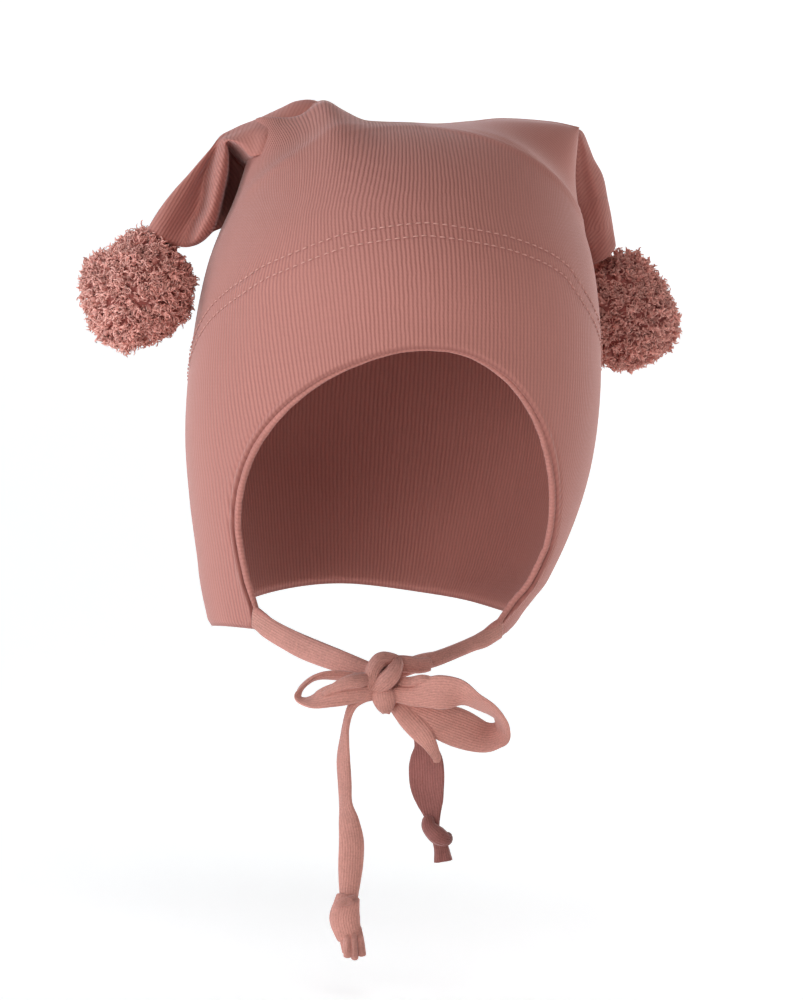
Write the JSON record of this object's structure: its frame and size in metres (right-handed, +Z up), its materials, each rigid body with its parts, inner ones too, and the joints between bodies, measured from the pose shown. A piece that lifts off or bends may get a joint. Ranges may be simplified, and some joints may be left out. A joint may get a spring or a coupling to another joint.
{
  "type": "two-horned cotton baby bonnet with pompoms and chin ties",
  "caption": "Soft ribbed cotton bonnet for a baby, with drooping horns that end in yarn pompoms, a bound face opening and flat ties in a bow under the chin.",
  "frame": {"origin": "the inside top of the crown, where the wearer's head bears", "axes": "+Z up out of the top of the head, -Y out of the face opening, +X to the wearer's left"},
  "size_m": [0.2172, 0.1637, 0.2819],
  "materials": {
    "jersey": "matt ribbed cotton jersey",
    "yarn": "matt cotton yarn"
  },
  "bodies": {
    "root": {"crown": "jersey", "face_binding": "jersey", "chin_tie_right": "jersey", "chin_tie_left": "jersey", "bow_knot": "jersey", "bow_loop_right": "jersey", "bow_loop_left": "jersey", "tie_tail_right": "jersey", "tie_tail_left": "jersey", "pompom_right": "yarn", "pompom_left": "yarn"}
  },
  "joints": []
}
